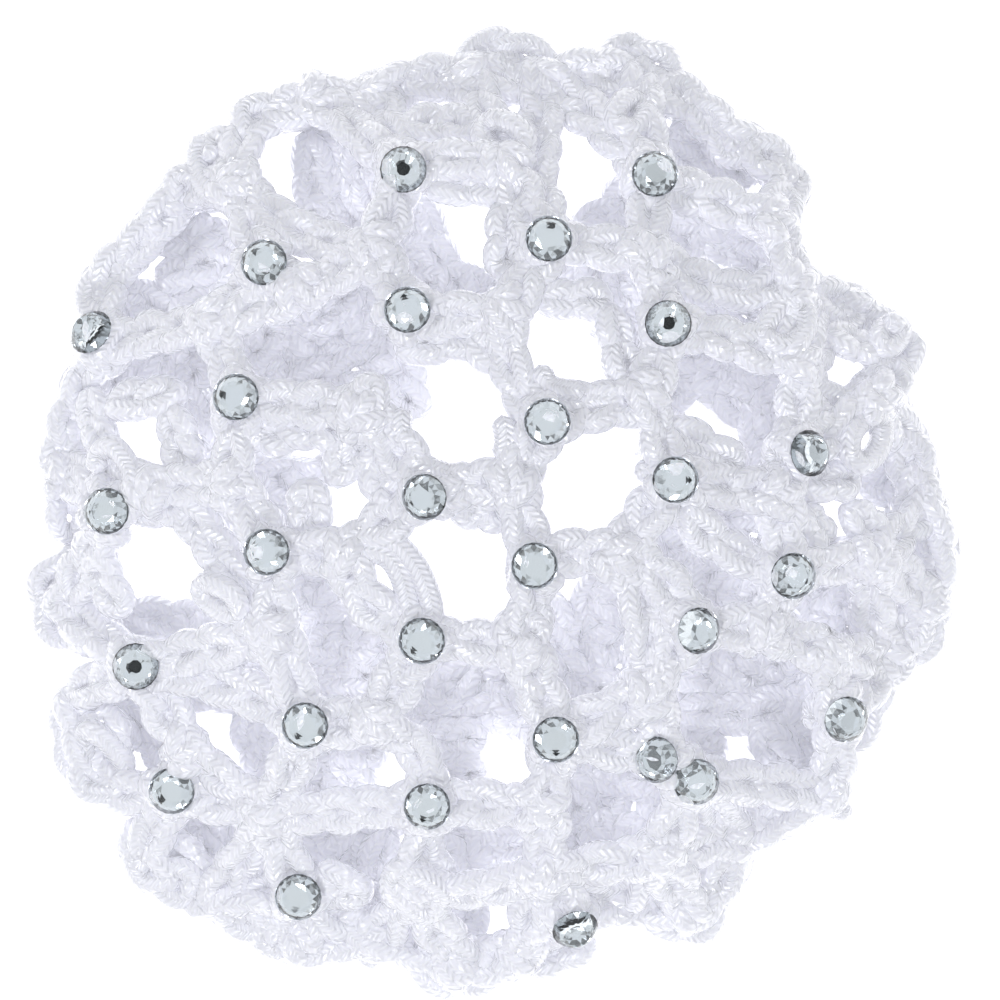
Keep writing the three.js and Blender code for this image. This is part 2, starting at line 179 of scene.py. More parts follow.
# Knots of the mouth, clockwise from the top: x, y.
MOUTH_KNOTS = {
    "m01": (1.8, 21.5), "m02": (8.6, 24.5), "m03": (12.8, 18.8), "m04": (15.6, 11.8),
    "m05": (17.8, 4.8), "m06": (15.6, -3.2), "m07": (11.8, -6.7), "m08": (10.6, -14.2),
    "m09": (5.1, -16.2), "m10": (-0.4, -19.9), "m11": (-5.4, -14.2), "m12": (-9.9, -13.2),
    "m13": (-15.4, -10.7), "m14": (-18.9, -3.2), "m15": (-19.6, 2.8), "m16": (-11.6, 9.8),
    "m17": (-10.9, 15.8), "m18": (-5.4, 18.8),
}

# Knots of the underside that lie between the crown's: x, y.
UNDER_KNOTS = {
    "u01": (-6.9, 28.8), "u02": (-2.4, 22.8), "u03": (10.2, 29.0), "u04": (3.1, 31.3),
    "u05": (21.8, 28.0), "u06": (33.1, -10.2), "u07": (26.8, 9.3), "u08": (21.1, 13.5),
    "u09": (38.2, 3.9), "u10": (22.6, -3.9), "u11": (13.1, -9.7), "u12": (22.4, -18.7),
    "u13": (29.6, -19.7), "u14": (11.8, -26.5), "u15": (10.6, -32.7), "u16": (-1.6, -33.7),
    "u17": (-13.2, -31.2), "u18": (-22.4, -26.7), "u19": (-29.4, -17.9), "u20": (-30.4, -11.2),
    "u21": (-28.9, 5.8), "u22": (-34.4, 13.8), "u23": (-30.4, 10.3), "u24": (-19.4, 16.8),
    "u25": (-13.4, 18.3), "u26": (-31.4, 19.5), "u27": (-28.9, 27.7), "u28": (-16.4, 32.3),
}

# Courses are chains of stitches from knot to knot. A number after ~ bows the chain that leads
# to that knot, in millimetres to the left of its way.
EDGE_COURSES = (
    "e01 e02~1 e03 e04~1.5 e05~1.5 e06~1 k16 k17 e07 e08 k24 e09 e10 e11~1 e12 s22",
    "s22 e13~0.3 e14~0.3 e15~1 e16 s28 e17 e18 e19 e20 e21~0.6 e22~0.6 s25 e23~1 e24",
    "e24 s19 e25 s13 e26 e27~1 s07 e28 e29 e30 k04 e31~0.8 e32 e01",
)
CROWN_COURSES = (
    "e21 s27 e20", "e01 s01 k05 k31 k06 s07", "k01 s01~-1", "e02 k01 s03 e03~1",
    "e04 s02 e03~-0.6", "s03 k03 s05 k05", "s03 k02 s02 k16", "k02 s06 k15 s09 k03~1.5",
    "k02 k17~-2", "s06 k18 k17", "k04 k05~-1.5", "s04 k06", "s04 k31", "e32 s01", "k04 s04",
    "k06 s08 k07 s12 k14 s09", "s08 k08 s14 k10 s12", "k08 k30 s13", "k30 e26",
    "k14 s15 k20~0.8 s11 k15", "s11 k19 s10 k24", "s10 k18 e07", "k18 k24~-3", "s11 s16~-2",
    "k19 s16 k25 e10", "k25 e11", "k25 e12~-1", "k10 s17~-1.6", "s14 k09 s20 k12 s17 k11 s15",
    "k09 s19", "s20 s19~-1", "k20 s18~1.5", "k20 k22~1", "s18 k21 s16", "k21 k26 s22",
    "k26 e12", "s18 k22 s21 k11", "k22 s23 s24 e14", "s21 s23", "s24 e13", "s21 k13 s26 k12~-2",
    "k13 k28 s28", "k28 e16", "k28 e17", "s24 k29 e15", "k29 e14", "k29 e16", "k29 k28",
    "s26 k27 e18", "k27 e19", "k27 k28~-1", "s26 k23 s20", "k23 s27 e19", "k23 s25",
    "k23 k32 s19", "k23 e21",
)
UNDER_COURSES = (
    "e32 u28 k05 u25 m17", "k05 u01", "e01 u01 u02~-1.2 m01", "m18 u02", "e02 u04 m01",
    "e03 u04", "e04 s02 u03 m02", "s02 u05 k16", "u05 k17", "u05 k02 s06 m03",
    "m04 u08 u07 k19 m05", "u08 k18 s10 k19", "s10 u09 e10 k25 s16 u10 m06", "k19 s16",
    "s16 u06 u13 e13", "u13 u12 k22 m08", "u12 s18 u10", "m07 u11 s18", "u11 m08",
    "k22 s24 e14", "m09 s21 u14 s24", "u14 u15 e16", "u15 u16 e18", "u16 s26 u17 e20",
    "u17 s20 k12 m12", "m10 s21", "m10 k12", "m11 k12", "s20 u18 e21", "s19 u19 s20~1",
    "e25 u20 k09 m13", "k09 s20", "s14 k09", "m14 s14 u21 m15", "e27 u22 u23 u21",
    "u22 u26 e28", "u26 s04 u24 u25", "e29 u27 s04", "u24 s08 u23", "s08 m16", "u25 m18",
)

# Short chains worked in beside the crown's own, and ones that show between them from under it:
# x and y where they start, x and y where they end.
CROWN_FILLS = (
    (-8.6, 16.5, -2.0, 17.7), (-1.8, 16.7, 2.2, 14.7), (-8.2, 38.7, -2.4, 38.7),
    (-5.4, 32.5, 0.8, 32.5), (1.4, 29.9, 1.1, 24.5), (5.1, 21.3, 10.6, 21.3),
    (11.4, 19.5, 13.2, 13.5), (6.4, 11.1, 12.2, 10.9), (-3.4, 0.7, 0.8, 0.1),
    (-15.8, 4.1, -12.8, 6.7), (-12.0, 4.1, -9.8, 1.3), (-18.4, 2.3, -18.2, -1.1),
    (-30.6, 0.5, -25.2, -7.1), (-35.8, 0.4, -30.6, 1.0), (18.2, 8.2, 23.8, 4.9),
    (31.2, 2.9, 35.4, 3.3), (35.8, 0.1, 38.0, -2.3), (30.8, 0.0, 32.8, -2.8),
    (-37.6, 10.9, -32.0, 11.7), (-31.8, 9.7, -30.8, 5.3), (-40.0, 11.3, -39.2, 6.7),
    (-24.6, 8.3, -20.7, 7.5), (-20.6, 8.5, -15.4, 8.1), (-40.0, -4.4, -37.4, -9.2),
    (34.0, 17.5, 38.0, 16.1), (-38.4, -20.2, -37.6, -23.6), (-31.6, -33.0, -29.4, -36.0),
    (-16.6, -36.0, -13.4, -38.2), (-8.4, -35.4, -5.2, -35.6),
)
UNDER_FILLS = (
    (-18.4, 37.1, -18.0, 31.3), (-18.6, 31.3, -16.8, 29.1), (-13.6, 36.5, -12.2, 30.9),
    (-33.0, 23.6, -28.5, 25.0), (-8.6, 25.7, -6.0, 22.5), (-18.2, 19.3, -14.4, 22.1),
    (-25.2, 15.5, -22.4, 18.7), (-30.4, 17.1, -29.8, 13.5), (-19.6, 13.3, -12.0, 14.7),
    (-22.4, 1.3, -20.4, -1.3), (-18.8, -6.3, -18.8, -9.3), (-26.0, -15.1, -22.6, -15.5),
    (-18.6, -13.5, -12.4, -13.1), (-18.0, -16.7, -12.2, -16.3), (-15.4, -12.7, -15.2, -18.7),
    (-36.8, -19.7, -32.2, -25.5), (-14.9, -23.5, -11.8, -23.7), (-14.9, -24.3, -13.5, -27.7),
    (-19.2, -26.5, -17.6, -27.1), (-28.8, -30.5, -29.2, -34.3), (-19.2, -32.5, -16.4, -32.5),
    (-18.2, -33.3, -17.8, -35.7), (-10.8, -32.9, -12.8, -38.7), (-4.8, -33.3, -4.4, -35.9),
    (-6.0, -22.9, -1.8, -22.5), (-5.6, -25.9, -1.8, -26.1), (-2.6, -16.3, 2.0, -17.1),
    (-6.0, -17.5, -3.0, -17.7), (12.6, 24.5, 12.8, 21.3), (20.8, 20.3, 26.2, 19.5),
    (18.4, 15.7, 21.8, 16.1), (27.4, 12.1, 28.2, 11.1), (22.2, 0.5, 27.2, -2.9),
    (23.4, -7.9, 26.6, -8.3), (35.2, -7.9, 35.4, -12.3), (23.2, -13.9, 26.2, -16.7),
    (27.8, -13.9, 28.8, -15.7), (7.6, -16.3, 11.2, -17.7), (19.6, -19.9, 28.6, -20.3),
    (27.0, -22.1, 29.0, -25.1), (20.2, -22.9, 21.8, -24.5), (8.0, -26.7, 8.2, -30.3),
    (12.8, -31.9, 14.6, -32.7), (15.4, -29.1, 16.8, -29.3), (20.6, -27.9, 23.2, -27.7),
    (18.8, 38.1, 25.2, 33.9), (-23.6, -21.5, -22.4, -23.7), (17.6, 36.5, 23.2, 32.3),
    (-31.0, -31.5, -31.2, -36.1), (-24.6, -20.6, -23.0, -26.0), (-38.8, -18.5, -37.4, -23.0),
    (-9.6, 15.2, -8.4, 10.4), (10.6, -6.9, 8.2, -13.7), (5.8, -9.3, 6.4, -14.5),
    (13.0, -7.5, 13.4, -12.1),
)

# Lobes of the border, which stand out past its round: x and y of the start, crest and end.
BORDER_LOBES = (
    (-2.8, 44.9, 1.1, 46.7, 4.8, 44.8), (11.4, 43.8, 14.5, 46.2, 17.6, 43.4),
    (-39.0, -5.2, -43.0, -5.6, -44.5, -8.8, -42.8, -11.9, -38.6, -11.8),
    (-41.6, -17.9, -42.4, -22.3, -40.8, -25.9), (15.4, -39.0, 18.8, -41.5, 21.8, -39.5),
    (42.1, -7.2, 43.8, -10.5, 41.8, -13.9), (-42.4, 4.2, -43.0, 1.2, -42.2, -1.8),
    (-7.2, -45.2, -3.8, -46.6, -0.6, -45.2), (38.0, -16.1, 37.5, -19.2, 35.4, -22.2),
    (3.2, -44.0, 6.2, -44.4, 8.8, -42.8), (-35.6, -31.8, -35.6, -34.6, -33.4, -36.8),
    (-31.8, 31.9, -29.8, 33.6, -27.4, 35.4),
)

# Loops of plain yarn that lie over the crown: x and y of each point along them.
CROWN_LOOPS = (
    (-15.4, -3.0, -11.0, -2.4, -7.9, -5.0, -6.2, -9.4, -7.0, -13.0),
    (-9.2, 10.6, -9.3, 8.4, -8.6, 6.4), (0.7, 9.8, 1.2, 7.2, 0.6, 5.0),
    (-13.6, -3.8, -10.8, -4.2, -9.2, -6.4, -8.3, -10.2), (-6.6, 4.6, -4.2, 3.8, -1.8, 4.4),
    (4.4, 14.8, 5.6, 12.6, 9.2, 12.0), (-28.6, 38.0, -29.8, 36.0, -29.4, 33.4, -27.8, 31.0),
)

# Picots, the small rings of yarn that stand between stitches: x, y, and radius of the ring.
CROWN_PICOTS = (
    (0.9, 37.3, 2.0), (13.4, 39.7, 1.6), (-12.9, 10.3, 2.0), (1.8, 3.8, 1.6), (2.8, -11.7, 1.6),
    (29.1, 18.5, 2.2), (-37.4, 3.3, 2.6), (-26.9, -8.2, 1.8), (-11.6, 25.1, 1.4),
    (-7.9, -37.2, 2.6), (36.8, 7.3, 2.2), (-38.9, -23.7, 2.4), (15.6, 24.5, 1.4),
    (39.3, 17.6, 1.2), (-26.6, 36.3, 1.4),
)


def linear(code):
    """A colour written as an sRGB hex code, as linear values."""
    channels = (int(code[i : i + 2], 16) / 255 for i in (1, 3, 5))
    return tuple(c / 12.92 if c <= 0.04045 else ((c + 0.055) / 1.055) ** 2.4 for c in channels)


class YarnSettings(bpy.types.PropertyGroup):
    """The yarn and the stitches that it is worked in."""

    thickness: bpy.props.FloatProperty(
        name="Yarn thickness", description="Diameter of the braided yarn",
        default=0.0024, min=0.0005, unit="LENGTH",
    )
    stitch_length: bpy.props.FloatProperty(
        name="Stitch length", description="Length of one chain stitch along its chain",
        default=0.0037, min=0.002, unit="LENGTH",
    )
    stitch_width: bpy.props.FloatProperty(
        name="Stitch width",
        description="Distance between the two legs of a chain stitch, middle to middle",
        default=0.0027, min=0.001, unit="LENGTH",
    )
    stitch_depth: bpy.props.FloatProperty(
        name="Stitch depth", description="How far a stitch's back lies under its legs",
        default=0.0009, min=0.0, unit="LENGTH",
    )
    colour: bpy.props.FloatVectorProperty(
        name="Yarn colour", description="Colour of the rayon where the light falls on it",
        default=linear("#fafafd"), subtype="COLOR", min=0.0, max=1.0,
    )
    # Painted shade: the colour that the yarn is painted between its plies, darker and more
    # lavender than its own.
    painted_shade_colour: bpy.props.FloatVectorProperty(
        name="Fold colour", description="Colour of the rayon between the plies of the braid",
        default=linear("#ececf5"), subtype="COLOR", min=0.0, max=1.0,
    )


class CrystalSettings(bpy.types.PropertyGroup):
    """The flat-backed crystals."""

    diameter: bpy.props.FloatProperty(
        name="Crystal diameter", description="Diameter of a crystal at its girdle",
        default=0.0047, min=0.002, unit="LENGTH",
    )
    height: bpy.props.FloatProperty(
        name="Crystal height", description="Height of a crystal from its back to its table",
        default=0.0015, min=0.0005, unit="LENGTH",
    )
    glass_colour: bpy.props.FloatVectorProperty(
        name="Glass colour", description="Tint of the glass",
        default=linear("#fbfefd"), subtype="COLOR", min=0.0, max=1.0,
    )
    foil_colour: bpy.props.FloatVectorProperty(
        name="Foil colour", description="Colour of the mirror foil on the back",
        default=linear("#d8dbdf"), subtype="COLOR", min=0.0, max=1.0,
    )


class StageSettings(bpy.types.PropertyGroup):
    """The table, the lights and the camera."""

    view_width: bpy.props.FloatProperty(
        name="View width",
        description="Width that the camera takes in at the net's middle height",
        default=0.1, min=0.01, unit="LENGTH",
    )
    lens: bpy.props.FloatProperty(
        name="Lens", description="Focal length of the camera, in millimetres",
        default=800.0, min=50.0, unit="CAMERA",
    )
    table_colour: bpy.props.FloatVectorProperty(
        name="Table colour", description="Colour of the lit table that the net lies on",
        default=linear("#ffffff"), subtype="COLOR", min=0.0, max=1.0,
    )


# Chart to places on the net.


def dome_height(x, y):
    """Height of the crown's dome over a point of the chart."""
    out = min(math.hypot(x, y) / CROWN_RADIUS, 1)
    return CROWN_EDGE + (CROWN_TOP - CROWN_EDGE) * (1 - out**CROWN_POWER)


def dome_normal(x, y):
    """The way that the crown's dome faces over a point of the chart."""
    radius = max(math.hypot(x, y), 0.01)
    out = min(radius / CROWN_RADIUS, 1)
    slope = (CROWN_TOP - CROWN_EDGE) * CROWN_POWER * out ** (CROWN_POWER - 1) / CROWN_RADIUS
    return Vector((slope * x / radius, slope * y / radius, 1)).normalized()


def leaning(tilt, way):
    """A direction that leans from upright by so many degrees, towards a way seen from above."""
    polar, azimuth = math.radians(tilt), math.radians(way)
    out = math.sin(polar)
    return Vector((out * math.cos(azimuth), out * math.sin(azimuth), math.cos(polar)))


def level(x, y, height):
    """A point of the chart at a height over the table, in the frame, in millimetres."""
    return Vector((x, y, height)) + CHART_SHIFT


def on_crown(x, y):
    """A point of the chart on the crown's dome, in the frame, in millimetres."""
    return level(x, y, dome_height(x, y))


def crown_table():
    """Every knot of the crown, as its point and its upright."""
    table = {
        name: (on_crown(x, y), leaning(tilt, way))
        for name, (x, y, tilt, way) in STONE_KNOTS.items()
    }
    for name, (x, y) in CROWN_KNOTS.items():
        table[name] = (on_crown(x, y), dome_normal(x, y))
    for name, (x, y) in EDGE_KNOTS.items():
        table[name] = (level(x, y, CROWN_EDGE), UP)
    return table


def under_table():
    """Every knot of the underside, as its point and its upright."""
    rows = {**STONE_KNOTS, **CROWN_KNOTS, **EDGE_KNOTS, **MOUTH_KNOTS, **UNDER_KNOTS}
    return {name: (level(x, y, UNDER_HEIGHT), UP) for name, (x, y, *_) in rows.items()}


def smooth_through(points, step):
    """Points about a step apart on a smooth curve through the given ones."""
    ends = [points[0] * 2 - points[1], *points, points[-1] * 2 - points[-2]]
    curve = []
    for before, start, end, after in zip(ends, ends[1:], ends[2:], ends[3:]):
        count = max(1, round((end - start).length / step))
        for i in range(count):
            t = i / count
            square = 2 * before - 5 * start + 4 * end - after
            cube = 3 * start - before - 3 * end + after
            curve.append(0.5 * (2 * start + (end - before) * t + square * t**2 + cube * t**3))
    curve.append(points[-1].copy())
    return curve


class Way:
    """A line through the net that can be asked for its place at a length along it."""

    def __init__(self, points, uprights):
        self.points = points
        self.uprights = uprights
        self.marks = [0.0]
        for start, end in zip(points, points[1:]):
            self.marks.append(self.marks[-1] + (end - start).length)
        self.length = self.marks[-1]

    def at(self, along):
        """Point, forward, across and upright at a length along the line."""
        clipped = min(max(along, 0.0), self.length)
        place = int(np.searchsorted(self.marks, clipped, side="right"))
        i = max(min(place, len(self.marks) - 1), 1)
        share = (along - self.marks[i - 1]) / (self.marks[i] - self.marks[i - 1])
        point = self.points[i - 1].lerp(self.points[i], share)
        forward = self.points[min(i + 1, len(self.points) - 1)] - self.points[max(i - 2, 0)]
        forward.normalize()
        upright = self.uprights[i - 1].lerp(self.uprights[i], min(max(share, 0), 1))
        across = upright.cross(forward).normalized()
        return point, forward, across, forward.cross(across)


def course_way(course, table):
    """The line of a course from knot to knot, with each chain bowed as the chart says."""
    stops = [word.split("~") for word in course.split()]
    points, uprights = [], []
    for before, stop in zip(stops, stops[1:]):
        start, start_up = table[before[0]]
        end, end_up = table[stop[0]]
        bow = float(stop[1]) if len(stop) > 1 else 0.0
        left = Vector((start.y - end.y, end.x - start.x, 0)).normalized()
        count = max(3, round((end - start).length / WAY_STEP))
        for i in range(count):
            t = i / count
            points.append(start.lerp(end, t) + left * (bow * 4 * t * (1 - t)))
            uprights.append(start_up.lerp(end_up, t).normalized())
    points.append(table[stops[-1][0]][0].copy())
    uprights.append(table[stops[-1][0]][1].copy())
    return Way(points, uprights)


# One chain stitch, as shares of its length, its width and its depth: forward, across and up.
CHAIN_STITCH = (
    (0.15, 0.0, -1.0),
    (0.25, 0.12, 0.0),
    (0.80, 0.5, 0.35),
    (1.25, 0.42, 0.0),
    (1.45, 0.0, -0.35),
    (1.25, -0.42, 0.0),
    (0.80, -0.5, 0.35),
    (0.25, -0.12, 0.0),
)


def chain_strand(way, yarn, seed, roll=0.5, tight=1.0, least=1):
    """The yarn's line through a chain of stitches along a way, in millimetres. A tight chain's
    stitches are that share of the usual size, and it has at least so many."""
    rng = random.Random(seed)
    width = yarn.stitch_width / MM * tight
    depth = yarn.stitch_depth / MM
    count = max(least, round(way.length / (yarn.stitch_length / MM) / tight))
    pitch = way.length / count
    twist_from = rng.uniform(0, 100)
    points = []
    for i in range(count):
        wide = width * rng.uniform(*STITCH_RANGE)
        for forward_share, across_share, up_share in CHAIN_STITCH:
            along = (i + forward_share - CHAIN_LEAD) * pitch
            point, forward, across, upright = way.at(along)
            turn = roll * noise.noise(Vector((twist_from, along / ROLL_LENGTH, 0))) * 2
            spun = Matrix.Rotation(turn, 3, forward)
            offset = across * (across_share * wide) + upright * (up_share * depth)
            wander = Vector(rng.uniform(-CHAIN_WANDER, CHAIN_WANDER) for _ in range(3))
            points.append(point + spun @ offset + wander)
    return points


def wrap_strand(point, upright, axis, radius, turns, advance, rng, flat=1.0, veer=0.0):
    """The yarn's line where it is wound round an axis, flatter or deeper than it is wide. It
    advances along the axis with each turn, and veers in all by so many radians."""
    side = upright.cross(axis).normalized()
    axis = side.cross(upright).normalized()
    steps = round(turns * WRAP_POINTS)
    start = rng.uniform(0, math.tau)
    points = []
    for i in range(steps + 1):
        angle = start + math.tau * turns * i / steps
        along = (i / steps - 0.5) * advance * turns
        swell = radius * rng.uniform(*WRAP_RANGE)
        turned = Matrix.Rotation(veer * (i / steps - 0.5), 3, upright)
        points.append(
            point
            + turned @ (axis * along + side * (math.cos(angle) * swell))
            + upright * (math.sin(angle) * swell * flat)
        )
    return points


def pairs(row):
    """The x and y of each point in a chart row."""
    return zip(row[::2], row[1::2])


def short_way(row, place):
    """The line of a short chain through the points of a chart row, where place puts them."""
    stops = [place(x, y) for x, y in pairs(row)]
    points = smooth_through([point for point, _ in stops], WAY_STEP)
    return Way(points, [stops[0][1]] * len(points))


def over_strand(way, rng):
    """The yarn's line where it is worked to and fro over the elastic that runs along a way."""
    count = round(way.length / MOUTH_PITCH)
    pitch = way.length / count
    points = []
    for i in range(count + 1):
        side = 1 if i % 2 else -1
        for share, across_share, up in ((0.0, side, -MOUTH_SINK), (0.5, 0.0, MOUTH_RISE)):
            point, _, across, upright = way.at((i + share) * pitch)
            spread = MOUTH_REACH * across_share * rng.uniform(*REACH_RANGE)
            rise = up + rng.uniform(-MOUTH_WANDER, MOUTH_WANDER)
            points.append(point + across * spread + upright * rise)
    return points[:-1]


def ring_strand(centre, upright, radius, turns, rng):
    """The yarn's line round a picot, pulled out of round by the stitches beside it."""
    side = upright.orthogonal().normalized()
    side = Matrix.Rotation(rng.uniform(0, math.pi), 3, upright) @ side
    fore = upright.cross(side)
    pull = rng.uniform(*PULL_RANGE)
    steps = round(turns * PICOT_POINTS)
    start = rng.uniform(0, math.tau)
    points = []
    for i in range(steps + 1):
        angle = start + math.tau * turns * i / steps
        swell = radius * rng.uniform(*PICOT_RANGE)
        wander = rng.uniform(-PICOT_WANDER, PICOT_WANDER)
        rise = PICOT_LIFT * (i / steps - 0.5) * 2 + wander
        points.append(
            centre
            + side * (math.cos(angle) * swell / pull)
            + fore * (math.sin(angle) * swell * pull)
            + upright * rise
        )
    return points


def add_object(name, data):
    """A new object in the scene."""
    added = bpy.data.objects.new(name, data)
    bpy.context.scene.collection.objects.link(added)
    return added


# Yarn lines to meshes.

# The radius of a yarn next to its pointed end, as a share, and how far each strand's pattern is
# shifted along it from the one before, in millimetres.
TIP_RADIUS = 0.7
PATTERN_SHIFT = 3.7

# Points closer than this are one, in metres.
SAME_POINT = 1e-7


def yarn_piece(name, strands, diameter, material, step=YARN_STEP, sides=YARN_SIDES):
    """A piece of worked yarn: a round yarn along each line, with both ends drawn to a point."""
    curve = bpy.data.curves.new(name, "CURVE")
    curve.dimensions = "3D"
    curve.bevel_depth = diameter / 2
    # A resolution of none gives four sides, and each step two more.
    curve.bevel_resolution = (sides - 4) // 2
    sizes = []
    for strand in strands:
        line = smooth_through(strand, step)
        spline = curve.splines.new("POLY")
        spline.points.add(len(line) - 1)
        radii = np.ones(len(line), np.float32)
        radii[[0, -1]] = 0
        radii[[1, -2]] = TIP_RADIUS
        spline.points.foreach_set("co", [c for p in line for c in (*(p * MM), 1.0)])
        spline.points.foreach_set("radius", radii)
        sizes.append((len(line), sum((b - a).length for a, b in zip(line, line[1:]))))
    worked = add_object(name, curve)
    seen = worked.evaluated_get(bpy.context.evaluated_depsgraph_get())
    mesh = bpy.data.meshes.new_from_object(seen)
    bpy.data.objects.remove(worked)
    bpy.data.curves.remove(curve)

    # The UV map runs in millimetres along the yarn, and in turns round it. The curve's mesh has
    # the strands in order, with four corners to each face.
    uv = np.zeros(len(mesh.loops) * 2, np.float32)
    layer = mesh.uv_layers[0].data
    layer.foreach_get("uv", uv)
    uv = uv.reshape(-1, 2)
    around = len(mesh.vertices) // sum(count for count, _ in sizes)
    first = 0
    for i, (count, length) in enumerate(sizes):
        last = first + (count - 1) * around * 4
        uv[first:last, 0] = uv[first:last, 0] * length + PATTERN_SHIFT * i
        first = last
    if first != len(uv):
        raise RuntimeError(f"{name}: the yarn's mesh isn't laid out as expected")
    layer.foreach_set("uv", uv.ravel())

    joined = bmesh.new()
    joined.from_mesh(mesh)
    bmesh.ops.remove_doubles(joined, verts=joined.verts, dist=SAME_POINT)
    joined.to_mesh(mesh)
    joined.free()
    mesh.materials.clear()
    mesh.materials.append(material)
    mesh.name = name
    return add_object(name, mesh)


def ride(piece, slot, *nodes):
    """Puts a finished piece on the net and hides the nodes that it stands for. The slot is not
    used.
    """
    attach(piece, "root")
    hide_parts(*nodes)


# Materials.

# The elastic's cover, in millimetres: the gap from rib to rib, and the ribs' depth.
RIB_PITCH = 0.5
RIB_DEPTH = 0.05

# The yarn's braid: rows of plies round it, and in millimetres the gap from ply to ply along a
# row and the plies' depth.
BRAID_ROWS = 8
PLY_PITCH = 0.62
PLY_DEPTH = 0.15

# Spots to the millimetre of loose filament, and of patches where the plies flash more.
FUZZ_SPOTS = 2.6
PATCH_SPOTS = 0.26

# Strength of a painted glow that the yarn gives off. It stands for light that its clear
# filaments pass on to each other, and lifts the shade in its folds. To scatter that light inside
# the yarn takes twice the render time.
PAINTED_GLOW = 0.15


def add_node(tree, kind, links=(), **settings):
    """Adds a shader node, sets its values, and links (socket, source) pairs into it. A source
    that is a node stands for its first output."""
    node = tree.nodes.new(f"ShaderNode{kind}")
    for key, value in settings.items():
        if key.startswith("in_"):
            name = key[3:].replace("_", " ")
            node.inputs[int(name) if name.isdigit() else name].default_value = value
        else:
            setattr(node, key, value)
    for socket, source in links:
        if isinstance(source, bpy.types.Node):
            source = source.outputs[0]
        tree.links.new(source, node.inputs[socket])
    return node


def material_of(surface):
    """Turns a function that builds a shader in a tree into one that makes its material."""

    def make(*settings):
        material = bpy.data.materials.new(surface.__name__)
        material.use_nodes = True
        tree = material.node_tree
        tree.nodes.clear()
        add_node(tree, "OutputMaterial", [(0, surface(tree, *settings))])
        return material

    return make


@material_of
def braided_rayon(tree, yarn):
    """Bright viscose filament, braided round: each ply shows as a short slanted bar that throws
    its own small highlight, over a white body. Painted shade, a lavender grey, darkens the
    colour between the plies, and a faint painted glow lifts the whole yarn."""
    uv = add_node(tree, "UVMap")
    along, around, _ = add_node(tree, "SeparateXYZ", [(0, uv)]).outputs

    # A ply slants one way across a row and the other way across the next.
    rows = add_node(tree, "Math", [(0, around)], operation="MULTIPLY", in_1=BRAID_ROWS)
    slant = add_node(tree, "Math", [(0, rows)], operation="PINGPONG", in_1=1.0)
    plies = add_node(tree, "Math", [(0, along)], operation="MULTIPLY", in_1=1 / PLY_PITCH)
    slanted = add_node(tree, "Math", [(0, plies), (1, slant)], operation="ADD")

    # It rises to its middle, and sinks a little where the rows meet.
    ridges = []
    for source, wave, lowest in ((slanted, "SINE", 0.0), (rows, "COSINE", 0.55)):
        turns = add_node(tree, "Math", [(0, source)], operation="MULTIPLY", in_1=math.tau)
        swing = add_node(tree, "Math", [(0, turns)], operation=wave)
        ridge = add_node(
            tree, "MapRange", [(0, swing)], in_1=-1.0, in_2=1.0, in_3=lowest, in_4=1.0
        )
        ridges.append(ridge)
    height = add_node(tree, "Math", enumerate(ridges), operation="MULTIPLY")

    place = add_node(tree, "TexCoord").outputs["Object"]
    fuzz = add_node(
        tree, "TexNoise", [("Vector", place)],
        in_Scale=FUZZ_SPOTS / MM, in_Detail=2.0, in_Roughness=0.6,
    )
    rough_height = add_node(
        tree, "Math", [(0, fuzz), (2, height)], operation="MULTIPLY_ADD", in_1=0.35
    )
    bump = add_node(
        tree, "Bump", [("Height", rough_height)], in_Strength=0.9, in_Distance=PLY_DEPTH * MM
    )
    patches = add_node(
        tree, "TexNoise", [("Vector", place)], in_Scale=PATCH_SPOTS / MM, in_Detail=3.0
    )
    # Painted shade: the colour turns to the shade colour where the plies sink, and random
    # patches make it darker or lighter.
    painted_shading = add_node(
        tree, "Math", [(0, height), (1, patches)], operation="MULTIPLY_ADD", in_2=0.25
    )
    colour = add_node(
        tree, "Mix", [(0, painted_shading)], data_type="RGBA",
        in_6=(*yarn.painted_shade_colour, 1.0), in_7=(*yarn.colour, 1.0),
    )
    shine = add_node(
        tree, "MapRange", [(0, patches)], in_1=0.42, in_2=0.56, in_3=0.42, in_4=0.16
    )
    return add_node(
        tree, "BsdfPrincipled",
        [
            ("Base Color", colour.outputs[2]),
            ("Roughness", shine),
            ("Normal", bump),
            ("Coat Normal", bump),
        ],
        in_IOR=1.53, in_Specular_IOR_Level=1.0,
        in_Coat_Weight=1.0, in_Coat_Roughness=0.22, in_Coat_IOR=1.6,
        # The yarn glows with a faint painted light, pale lavender, though it is no lamp.
        in_Emission_Color=(*linear("#f0f1f7"), 1.0), in_Emission_Strength=PAINTED_GLOW,
    )


@material_of
def covered_elastic(tree):
    """Rubber core covered in matt polyester thread: a fine, even ribbing round the cord."""
    uv = add_node(tree, "UVMap")
    along, *_ = add_node(tree, "SeparateXYZ", [(0, uv)]).outputs
    turns = add_node(
        tree, "Math", [(0, along)], operation="MULTIPLY", in_1=math.tau / RIB_PITCH
    )
    rib = add_node(tree, "Math", [(0, turns)], operation="SINE")
    bump = add_node(
        tree, "Bump", [("Height", rib)], in_Strength=0.6, in_Distance=RIB_DEPTH * MM
    )
    return add_node(
        tree, "BsdfPrincipled", [("Normal", bump)],
        in_Base_Color=(*linear("#f1f1f4"), 1.0), in_Roughness=0.6,
    )


@material_of
def cut_crystal(tree, crystal):
    """Clear machine-cut crystal glass, polished: it bends what lies round it into small bright
    and dark facets, and its table gives a clear reflection."""
    return add_node(
        tree, "BsdfPrincipled", in_Base_Color=(*crystal.glass_colour, 1.0),
        in_Roughness=0.0, in_IOR=1.56, in_Transmission_Weight=1.0,
    )


